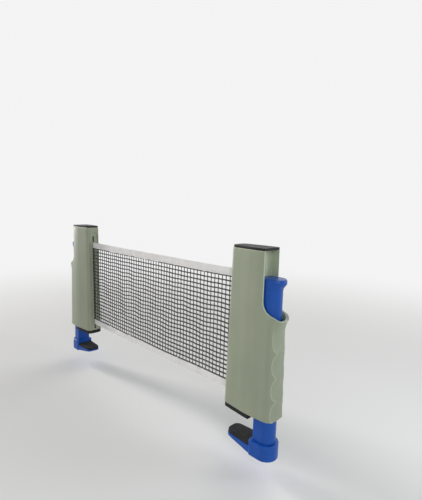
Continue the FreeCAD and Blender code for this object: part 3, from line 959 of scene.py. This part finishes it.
def push_in(bm, faces, move):
    """Extrudes faces of a closed mesh; gives the moved faces and their vertices."""
    edges = once(edge for face in faces for edge in face.edges)
    verts = once(vert for face in faces for vert in face.verts)
    made = bmesh.ops.extrude_face_region(bm, geom=faces + edges + verts)["geom"]
    verts = [part for part in made if isinstance(part, bmesh.types.BMVert)]
    bmesh.ops.translate(bm, verts=verts, vec=move)
    return [part for part in made if isinstance(part, bmesh.types.BMFace)], verts


def recess_and_slot(bm, inner, light):
    """Sinks the arched recess into the net end, and the slot into its floor."""
    def in_recess(face):
        u, v, z = face.calc_center_median()
        if u > NET_FACE_U or abs(v) > RECESS_HALF or any(vert[inner] for vert in face.verts):
            return False
        arch = RECESS_TOP - RECESS_HALF + math.sqrt(RECESS_HALF ** 2 - v ** 2)
        return CASE_LOW < z < arch - RECESS_ARCH_SLACK
    faces = [face for face in bm.faces if in_recess(face)]
    sunk = set(faces)
    border = {vert for face in faces for vert in face.verts if not set(vert.link_faces) <= sunk}
    floor, verts = push_in(bm, faces, (RECESS_DEPTH, 0, 0))
    # Painted highlight round the recess's rim
    for vert in border:
        if vert.is_valid:
            vert[light] = RECESS_PAINTED_HIGHLIGHT
    for vert in verts:
        if abs(vert.co.y) < SLOT_HALF + SLOT_SLACK:
            if abs(vert.co.z - SLOT_LOW_ROW) < CLOSE:
                vert.co.z = SLOT_LOW
            if SLOT_HIGH_ROWS[0] < vert.co.z < SLOT_HIGH_ROWS[1]:
                vert.co.z = SLOT_HIGH
    slot = [
        face for face in floor if abs(face.calc_center_median().y) < SLOT_HALF
        and SLOT_LOW < face.calc_center_median().z < SLOT_HIGH
    ]
    push_in(bm, slot, (SLOT_DEPTH, 0, 0))


class OBJECT_OT_net_cases(bpy.types.Operator):
    """Both cases with scoop, lip, finger grooves, recess and slot"""
    bl_idname = "netset.cases"
    bl_label = "Cases"

    def execute(self, context):
        for post in POSTS:
            bm = case_mesh(settings("net_case"))
            to_post(bm, post)
            piece = new_piece(bm, f"{post}_case_shell", "case_plastic", crease=40.0)
            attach(piece, f"{post}_post")
            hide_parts(f"{post}_case")
        return {"FINISHED"}


class OBJECT_OT_net_caps(bpy.types.Operator):
    """Top caps, base plates and base pads, with rounded edges"""
    bl_idname = "netset.caps"
    bl_label = "Caps, plates and pads"

    def execute(self, context):
        for post in POSTS:
            rounded_part(post, "top_cap", "post", "black_plastic", width=0.6)
            rounded_part(post, "base_plate", "post", "black_plastic", width=0.3)
            rounded_part(post, "base_pad", "post", "rubber_pad", width=0.5)
        return {"FINISHED"}


class OBJECT_OT_net_plungers(bpy.types.Operator):
    """Thumb caps, jaws, jaw pads and return springs"""
    bl_idname = "netset.plungers"
    bl_label = "Plungers"

    def thumb_cap(self):
        """The column's head: its plan raised in rows, flared in front and rounded on top."""
        bm = bmesh.new()
        rounded_ring(bm, column_corners(), HEAD_LOW)
        step = (HEAD_HIGH - HEAD_LOW) / HEAD_ROWS
        heights = [HEAD_LOW + step * row for row in range(1, HEAD_ROWS + 1)]
        ring = extrude_rows(bm, bm.edges[:], heights)
        bmesh.ops.contextual_create(bm, geom=ring)
        for vert in bm.verts:
            share = smooth_step(HEAD_FLARE_FROM, HEAD_FLARE_TO, vert.co.x)
            vert.co.x += self.flare(vert.co.z - HEAD_LOW) * share
        top = [
            edge for edge in bm.edges
            if all(vert.co.z > HEAD_HIGH - TOUCH for vert in edge.verts)
            and len(edge.link_faces) == 2 and edge.calc_face_angle() > HEAD_EDGE_ANGLE
        ]
        bevel_edges(bm, top, HEAD_ROUND, 4)
        bmesh.ops.recalc_face_normals(bm, faces=bm.faces)
        return bm

    def flare(self, rise):
        """How far the head's front stands out at a rise above its foot."""
        for (low, before), (high, after) in zip(HEAD_FLARE, HEAD_FLARE[1:]):
            if rise <= high:
                share = (rise - low) / (high - low)
                return before + (after - before) * (smooth_step(0, 1, share) + share) / 2
        return HEAD_FLARE[-1][1]

    def execute(self, context):
        for post in POSTS:
            bm = self.thumb_cap()
            to_post(bm, post)
            head = new_piece(bm, f"{post}_thumb_cap_moulded", "blue_plastic", crease=50.0)
            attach(head, f"{post}_plunger")
            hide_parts(f"{post}_thumb_cap")
            rounded_part(post, "jaw", "plunger", "blue_plastic", width=0.6, steps=3, sharp=50.0)
            rounded_part(post, "jaw_pad", "plunger", "rubber_pad", width=0.6)
            self.spring(post)
        return {"FINISHED"}

    def spring(self, post):
        """The return spring as in CAD, its place baked into its mesh."""
        node = f"{post}_return_spring"
        coil = new_piece(rounded_copy(node, 0.0), f"{node}_coil", "spring_steel")
        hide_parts(node)
        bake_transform(coil)


# ---- Net ----

def cloth_map(bm):
    """Gives the mesh a UV map in metres: along the net, and across it."""
    layer = bm.loops.layers.uv.new(CLOTH_MAP)
    for face in bm.faces:
        for loop in face.loops:
            place = loop.vert.co
            loop[layer].uv = (place.x * MM, (place.z + place.y) * MM)


def sway_place(place, scales):
    """Where a layer of noise is read for a place on the net."""
    along, layer, up = scales
    return Vector((place.x * along, layer, place.z * up))


def net_sway(place):
    """Small unevenness of the hanging net, in millimetres."""
    middle = (NET_NEAR_X + NET_FAR_X) / 2
    half = (NET_NEAR_X - NET_FAR_X) / 2
    loose = max(1 - ((place.x - middle) / half) ** 2, 0.0)
    tall = 2 * place.z - NET_LOW - NET_HIGH
    inside = max(1 - (tall / (NET_HIGH - NET_LOW)) ** 2, 0.0)
    slow = noise.noise(sway_place(place, SWAY_SLOW)) * SWAY_SLOW_REACH
    quick = noise.noise_vector(sway_place(place, SWAY_QUICK)) * Vector(SWAY_QUICK_REACH)
    ripple = noise.noise(sway_place(place, SWAY_RIPPLE)) * SWAY_RIPPLE_REACH * inside
    return Vector((quick.x, slow + quick.y, quick.z - SWAY_DROP + ripple)) * min(
        loose * SWAY_ENDS, 1.0)


def thread(bm, start, step, count, radius, knot, full):
    """One thread: a strip along step, deepest at its knots, that the piece's modifier thickens.

    Each vertex keeps its share of the full radius for the modifier in the vertex group.
    """
    share = bm.verts.layers.deform.verify()
    made = [bm.verts.new(start + Vector((0, side * knot, 0))) for side in (-1, 1)]
    edges = [bm.edges.new(made)]
    for vert in made:
        vert[share][0] = knot / full
    everything = list(made)
    taper = step.normalized() * KNOT_TAPER
    centre = start.copy()
    here = knot
    for cell in range(count):
        for ahead, size in ((taper, radius), (step - 2 * taper, radius), (taper, knot)):
            verts, edges = extrude(bm, edges)
            bmesh.ops.translate(bm, verts=verts, vec=ahead)
            centre += ahead
            bmesh.ops.scale(
                bm, verts=verts, vec=(1, size / here, 1), space=Matrix.Translation(-centre))
            here = size
            for vert in verts:
                vert[share][0] = size / full
            everything += verts
    return everything


def repeat(bm, verts, count, step):
    """Makes count of a thread or stitch in all, each a step further on."""
    geometry = once(face for vert in verts for face in vert.link_faces)
    geometry += once(edge for vert in verts for edge in vert.link_edges) + verts
    for number in range(1, count):
        copy = bmesh.ops.duplicate(bm, geom=geometry)["geom"]
        fresh = [part for part in copy if isinstance(part, bmesh.types.BMVert)]
        bmesh.ops.translate(bm, verts=fresh, vec=step * number)


class OBJECT_OT_net_cloth(bpy.types.Operator):
    """The knotted net, its two bands, the end sleeve and the wound part"""
    bl_idname = "netset.cloth"
    bl_label = "Net and bands"

    def net(self, choices):
        """Upright and level threads, knotted where they cross and unevenly hung."""
        bm = bmesh.new()
        long_step = (NET_FAR_X - NET_NEAR_X) / choices.cells_long
        high_step = (NET_HIGH - NET_LOW) / choices.cells_high
        corner = Vector((NET_NEAR_X, 0, NET_LOW))
        along, up = Vector((long_step, 0, 0)), Vector((0, 0, high_step))
        upright = thread(
            bm, corner, up, choices.cells_high, choices.upright_radius, choices.knot_radius,
            choices.knot_radius)
        repeat(bm, upright, choices.cells_long + 1, along)
        level = thread(
            bm, corner, along, choices.cells_long, choices.level_radius, choices.level_radius,
            choices.knot_radius)
        repeat(bm, level, choices.cells_high + 1, up)
        cloth_map(bm)
        for vert in bm.verts:
            vert.co += net_sway(vert.co)
        return bm

    def band(self, low, high, choices):
        """Folded tape: a long flat sleeve, nipped along its stitch line, with stitches."""
        bm = bmesh.new()
        corners = (
            (-TAPE_HALF, low), (TAPE_HALF, low), (TAPE_HALF, high), (-TAPE_HALF, high))
        verts = [bm.verts.new((NET_NEAR_X, y, z)) for y, z in corners]
        bm.faces.new(verts)
        bmesh.ops.delete(bm, geom=bm.faces[:], context="FACES_ONLY")
        # The fold is away from the net, and the open edge lies along it
        if high > NET_HIGH:
            outward, open_z, edge, fold = 1, low, verts[:2], verts[2:]
        else:
            outward, open_z, edge, fold = -1, high, verts[2:], verts[:2]
        gone = [part for part in bm.edges if set(part.verts) == set(edge)]
        bmesh.ops.delete(bm, geom=gone, context="EDGES")
        bmesh.ops.bevel(
            bm, geom=fold, offset=TAPE_FOLD, offset_type="OFFSET", segments=4, profile=0.5,
            affect="VERTICES", material=-1)
        stitch_z = open_z + STITCH_INSET * outward
        levels = (
            low + TAPE_INSET, stitch_z - STITCH_HALF, stitch_z, stitch_z + STITCH_HALF,
            (low + high) / 2, high - TAPE_INSET)
        cut_across(bm, lambda: bm.verts[:] + bm.edges[:], 2, levels)
        ring = bm.edges[:]
        step = (NET_FAR_X - NET_NEAR_X) / TAPE_ROWS
        for row in range(TAPE_ROWS):
            verts, ring = extrude(bm, ring)
            bmesh.ops.translate(bm, verts=verts, vec=(step, 0, 0))
        bmesh.ops.recalc_face_normals(bm, faces=bm.faces)
        for vert in bm.verts:
            near_line = max(1 - abs(vert.co.z - stitch_z) / TAPE_NIP_REACH, 0.0)
            vert.co.y *= 1 - TAPE_NIP * near_line
            if abs(vert.co.z - open_z) < TAPE_WAVE_REACH:
                vert.co.z += TAPE_WAVE * math.cos(math.pi * vert.co.x / step) * outward
        bmesh.ops.solidify(bm, geom=bm.faces[:], thickness=TAPE_THICK)
        self.stitches(bm, stitch_z, choices.stitch_pitch)
        cloth_map(bm)
        for vert in bm.verts:
            vert.co += net_sway(Vector((vert.co.x, 0, (low + high) / 2)))
        return bm

    def stitches(self, bm, z, pitch):
        """A row of stitches on each side of a band."""
        count = int((NET_NEAR_X - NET_FAR_X) / pitch)
        for side in (-1, 1):
            made = bmesh.ops.create_icosphere(bm, subdivisions=1, radius=0.5)["verts"]
            bmesh.ops.scale(bm, verts=made, vec=STITCH_SIZE)
            bmesh.ops.translate(bm, verts=made, vec=(NET_NEAR_X - pitch / 2, side * STITCH_OUT, z))
            repeat(bm, made, count, Vector((-pitch, 0, 0)))

    def sleeve(self, low, high):
        """Tape loop round the anchor rod, with its sewn tail towards the net."""
        bm = bmesh.new()
        bottom, span = low.z / MM, (high.z - low.z) / MM
        made = bmesh.ops.create_circle(
            bm, cap_ends=False, radius=SLEEVE_RADIUS, segments=24)["verts"]
        bmesh.ops.translate(bm, verts=made, vec=(SLEEVE_U, 0, bottom))
        for vert in made:
            if vert.co.x < SLEEVE_U - SLEEVE_TAIL_FROM:
                vert.co.x = SLEEVE_U - SLEEVE_TAIL
        extrude_rows(bm, bm.edges[:], [
            bottom + span * row / SLEEVE_ROWS for row in range(1, SLEEVE_ROWS + 1)])
        bmesh.ops.recalc_face_normals(bm, faces=bm.faces)
        bmesh.ops.solidify(bm, geom=bm.faces[:], thickness=SLEEVE_THICK)
        cloth_map(bm)
        return bm

    def roll(self, low, high):
        """The net still wound on the reel: one strip in a spiral."""
        bm = bmesh.new()
        centre = (low + high) / 2 / MM
        outer = (high.x - low.x) / 2 / MM
        bottom, span = low.z / MM, (high.z - low.z) / MM
        verts = [
            bm.verts.new((centre.x + ROLL_START, centre.y, bottom + span * row / ROLL_ROWS))
            for row in range(ROLL_ROWS + 1)
        ]
        edges = [bm.edges.new(pair) for pair in zip(verts, verts[1:])]
        steps = int(ROLL_TURNS * ROLL_STEPS)
        growth = (outer - ROLL_MARGIN - ROLL_START) / ROLL_TURNS
        round_scale, up_scale, layer = ROLL_NOISE
        for step in range(1, steps + 1):
            verts, edges = extrude(bm, edges)
            turned = ROLL_TURNS * step / steps
            angle = 2 * math.pi * turned
            for vert in verts:
                uneven = noise.noise(Vector((angle * round_scale, vert.co.z * up_scale, layer)))
                radius = ROLL_START + growth * turned + ROLL_UNEVEN * uneven
                vert.co.x = centre.x + radius * math.cos(angle)
                vert.co.y = centre.y + radius * math.sin(angle)
        bmesh.ops.solidify(bm, geom=bm.faces[:], thickness=ROLL_THICK)
        cloth_map(bm)
        return bm

    def stand_in(self, node, name, slot, bm, crease=60.0):
        """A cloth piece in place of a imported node."""
        piece = new_piece(bm, name, slot, crease=crease, even=False)
        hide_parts(node)
        return piece

    def execute(self, context):
        noise.seed_set(SWAY_SEED)
        choices = settings("net_cloth")
        net = self.stand_in("net_mesh", "net_threads", "net_cord", self.net(choices), crease=80.0)
        group = net.vertex_groups.new(name="thickness")
        body = net.modifiers.new("thread_body", "SOLIDIFY")
        body.thickness = 2 * choices.knot_radius * MM
        body.offset = 0.0
        body.vertex_group = group.name
        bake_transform(net)
        for node, (low, high) in BANDS.items():
            bm = self.band(low, high, choices)
            band = self.stand_in(node, f"{node}_tape", "band_tape", bm)
            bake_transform(band)
        low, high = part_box("net_end_loop")
        bm = self.sleeve(low, high)
        sleeve = self.stand_in("net_end_loop", "net_end_sleeve", "band_tape", bm)
        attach(sleeve, "near_post")
        low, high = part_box("far_net_roll")
        roll = self.stand_in("far_net_roll", "net_winding", "net_cord", self.roll(low, high))
        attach(roll, "far_reel")
        return {"FINISHED"}


class OBJECT_OT_net_finishes(bpy.types.Operator):
    """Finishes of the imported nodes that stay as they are"""
    bl_idname = "netset.finishes"
    bl_label = "Finishes"

    def execute(self, context):
        for part in frame["record"]["subparts"]:
            node = frame["nodes"][part["node"]]
            for holder in node.material_slots:
                holder.material = material(part["material_slot"])
        return {"FINISHED"}


class OBJECT_OT_net_stage(bpy.types.Operator):
    """Floor, backdrop light, lamps and camera"""
    bl_idname = "netset.stage"
    bl_label = "Stage"

    def floor(self):
        """Floor that fades into the backdrop away from the object, as studio paper does."""
        bm = bmesh.new()
        bmesh.ops.create_grid(bm, x_segments=1, y_segments=1, size=FLOOR_SIZE)
        bmesh.ops.translate(bm, verts=bm.verts, vec=(0, 0, FLOOR_Z))
        mesh = bpy.data.meshes.new("studio_floor")
        bm.to_mesh(mesh)
        bm.free()
        floor = bpy.data.objects.new("studio_floor", mesh)
        bpy.context.scene.collection.objects.link(floor)
        finish = Finish("studio_floor", Roughness=0.9)
        tone = finish.clouds(finish.place(), 3.0)
        finish.set("Base Color", finish.blend(tone, *FLOOR_TONES))
        centred = finish.node(
            "ShaderNodeMapping", {}, {0: finish.place(), 1: (-FLOOR_CENTRE_X, 0.0, -FLOOR_Z)})
        distance = finish.node("ShaderNodeVectorMath", {"operation": "LENGTH"}, {0: centred}, 1)
        near, far = FLOOR_FADE
        fade = finish.node(
            "ShaderNodeMapRange", {"interpolation_type": "SMOOTHSTEP"},
            {0: distance, 1: near, 2: far})
        seen = finish.seen()
        paper = finish.node("ShaderNodeEmission", {}, {"Strength": BACKDROP})
        finish.cover(fade * seen, paper)
        mesh.materials.append(finish.material)

    def lamp(self, name, place, target, size, power, tint):
        """A rectangular lamp that the camera doesn't see."""
        light = bpy.data.lights.new(name, "AREA")
        light.shape = "RECTANGLE"
        light.size, light.size_y = size
        light.energy = power
        light.color = tint
        lamp = bpy.data.objects.new(name, light)
        lamp.location = place
        lamp.visible_camera = False
        aim = Vector(target) - Vector(place)
        lamp.rotation_euler = aim.to_track_quat("-Z", "Y").to_euler()
        bpy.context.scene.collection.objects.link(lamp)

    def world(self):
        """White surroundings: dim as a light, bright where the camera sees them."""
        world = bpy.data.worlds.new("studio")
        bpy.context.scene.world = world
        world.use_nodes = True
        nodes = Nodes(world.node_tree)
        back = world.node_tree.nodes["Background"]
        back.inputs["Color"].default_value = (1.0, 1.0, 1.0, 1.0)
        power = nodes.node(
            "ShaderNodeMapRange", {}, {0: nodes.seen(), 3: WORLD_LIGHT, 4: BACKDROP})
        nodes.feed(back.inputs["Strength"], power)

    def camera(self):
        """The photograph's camera, turned from its angles."""
        azimuth, elevation, roll = (
            math.radians(angle) for angle in (CAMERA_AZIMUTH, CAMERA_ELEVATION, CAMERA_ROLL))
        right = Vector((math.cos(azimuth), math.sin(azimuth), 0))
        back = Vector((
            math.sin(azimuth) * math.cos(elevation), -math.cos(azimuth) * math.cos(elevation),
            math.sin(elevation)))
        up = back.cross(right)
        turned_right = right * math.cos(roll) + up * math.sin(roll)
        turned_up = up * math.cos(roll) - right * math.sin(roll)
        lens = bpy.data.cameras.new("photo_camera")
        lens.sensor_width = CAMERA_SENSOR
        lens.lens = CAMERA_FOCAL / PHOTO_HEIGHT * CAMERA_SENSOR
        lens.clip_start = 0.01
        lens.clip_end = 50.0
        camera = bpy.data.objects.new("photo_camera", lens)
        turn = Matrix((turned_right, turned_up, back)).transposed().to_4x4()
        camera.matrix_world = Matrix.Translation(CAMERA_PLACE) @ turn
        bpy.context.scene.collection.objects.link(camera)
        bpy.context.scene.camera = camera

    def execute(self, context):
        context.scene.view_settings.view_transform = "Standard"
        self.world()
        self.floor()
        for lamp in LAMPS:
            self.lamp(*lamp)
        self.camera()
        return {"FINISHED"}


OPERATORS = (
    OBJECT_OT_net_stage, OBJECT_OT_net_finishes, OBJECT_OT_net_cases, OBJECT_OT_net_caps,
    OBJECT_OT_net_plungers, OBJECT_OT_net_cloth,
)
GROUPS = (("net_finish", FinishSettings), ("net_case", CaseSettings), ("net_cloth", NetSettings))


class VIEW3D_PT_net_set(bpy.types.Panel):
    """Lists the pieces and their settings"""
    bl_label = "Net set"
    bl_idname = "VIEW3D_PT_net_set"
    bl_space_type = "VIEW_3D"
    bl_region_type = "UI"
    bl_category = "Net set"

    def draw(self, context):
        for name, group in GROUPS:
            box = self.layout.box()
            for prop in group.__annotations__:
                box.prop(getattr(context.scene, name), prop)
        for operator in OPERATORS:
            self.layout.operator(operator.bl_idname)


def register():
    for name, group in GROUPS:
        bpy.utils.register_class(group)
        setattr(bpy.types.Scene, name, PointerProperty(type=group))
    for operator in OPERATORS:
        bpy.utils.register_class(operator)
    bpy.utils.register_class(VIEW3D_PT_net_set)


def unregister():
    bpy.utils.unregister_class(VIEW3D_PT_net_set)
    for operator in reversed(OPERATORS):
        bpy.utils.unregister_class(operator)
    for name, group in GROUPS:
        delattr(bpy.types.Scene, name)
        bpy.utils.unregister_class(group)


def main():
    register()
    for operator in OPERATORS:
        area, name = operator.bl_idname.split(".")
        getattr(getattr(bpy.ops, area), name)()


if __name__ == "__main__":
    main()
